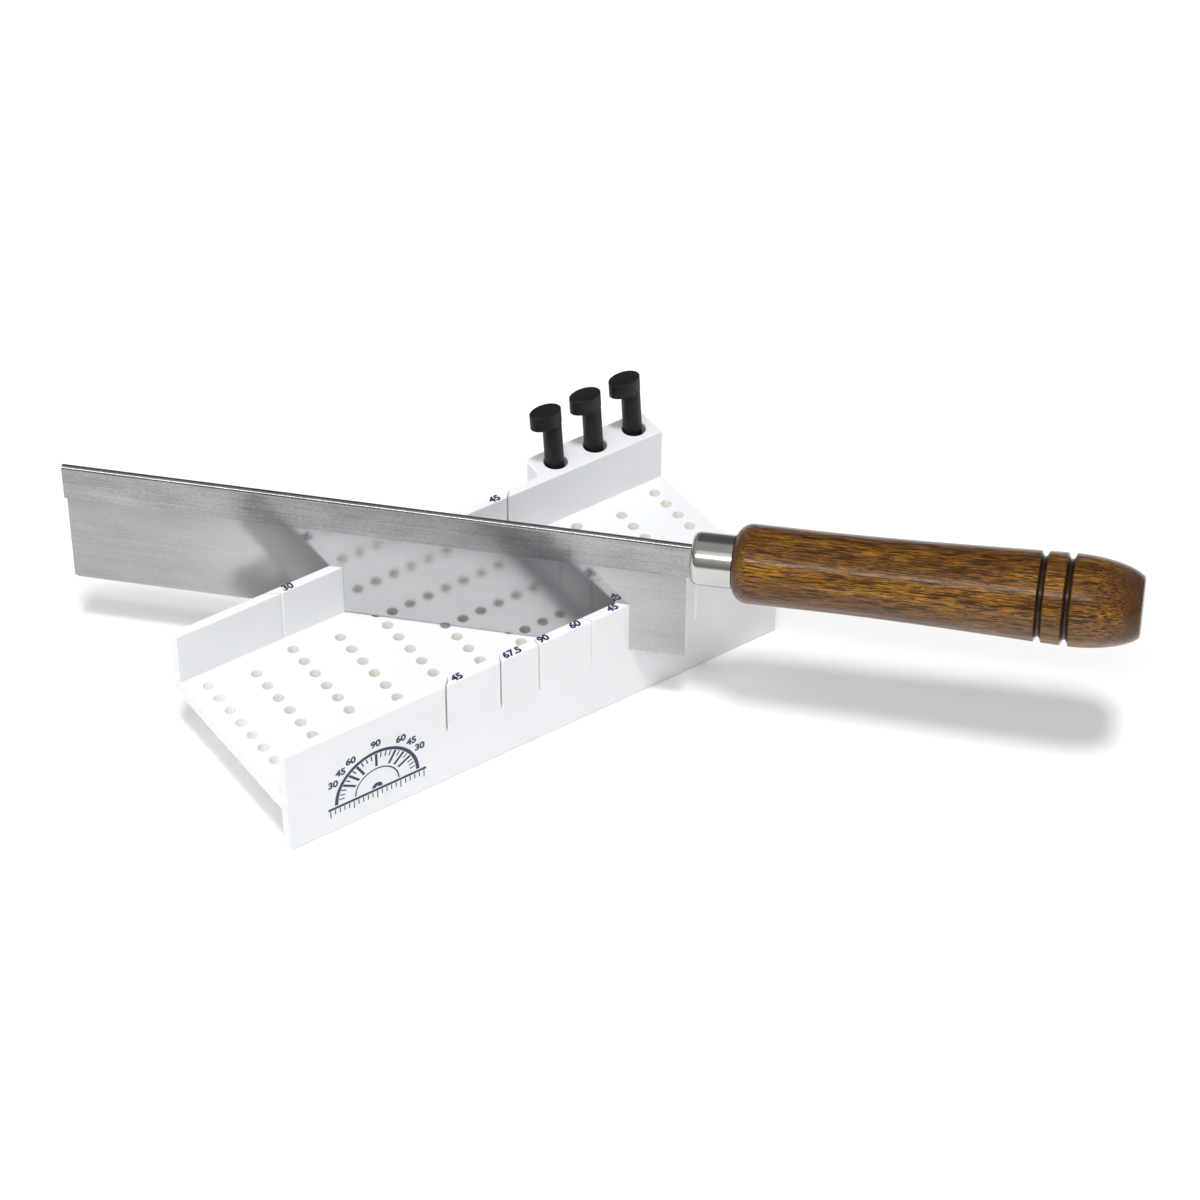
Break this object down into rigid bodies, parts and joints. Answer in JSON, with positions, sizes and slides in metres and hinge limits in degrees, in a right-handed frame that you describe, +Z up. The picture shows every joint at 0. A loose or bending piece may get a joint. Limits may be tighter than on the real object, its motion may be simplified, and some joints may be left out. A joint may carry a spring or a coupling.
{
  "type": "miter box saw",
  "caption": "Plastic bench-hook miter box with a staggered grid of peg holes, angled saw slots, a stiff-backed saw with a turned handle, and cam pegs in a rack.",
  "frame": {"origin": "where the saw slots cross, on the underside of the box floor", "axes": "+X along the box towards the peg rack, +Y towards the back wall, +Z up"},
  "size_m": [0.3088, 0.3088, 0.098],
  "materials": {
    "box_plastic": "satin moulded white plastic",
    "blade_steel": "rolled and lightly brushed",
    "spine_steel": "folded strip",
    "ferrule_nickel": "bright nickel plate",
    "tang_steel": "plain",
    "handle_wood": "varnished",
    "peg_plastic": "fine moulded grain",
    "ink": "pad-printed navy ink"
  },
  "bodies": {
    "box": {"miter_box": "box_plastic"},
    "saw": {"saw_blade": "blade_steel", "saw_spine": "spine_steel", "ferrule": "ferrule_nickel", "saw_tang": "tang_steel", "handle": "handle_wood"},
    "peg_1": {"cam_peg_1": "peg_plastic"},
    "peg_2": {"cam_peg_2": "peg_plastic"},
    "peg_3": {"cam_peg_3": "peg_plastic"}
  },
  "joints": [
    {"name": "saw_stroke", "type": "slide", "parent": "box", "child": "saw", "axis": [0.7071, -0.7071, 0], "range_m": [-0.02, 0.1]},
    {"name": "peg_1_lift", "type": "slide", "parent": "box", "child": "peg_1", "axis": [0, 0, 1], "range_m": [0, 0.018]},
    {"name": "peg_2_lift", "type": "slide", "parent": "box", "child": "peg_2", "axis": [0, 0, 1], "range_m": [0, 0.018]},
    {"name": "peg_3_lift", "type": "slide", "parent": "box", "child": "peg_3", "axis": [0, 0, 1], "range_m": [0, 0.018]}
  ]
}
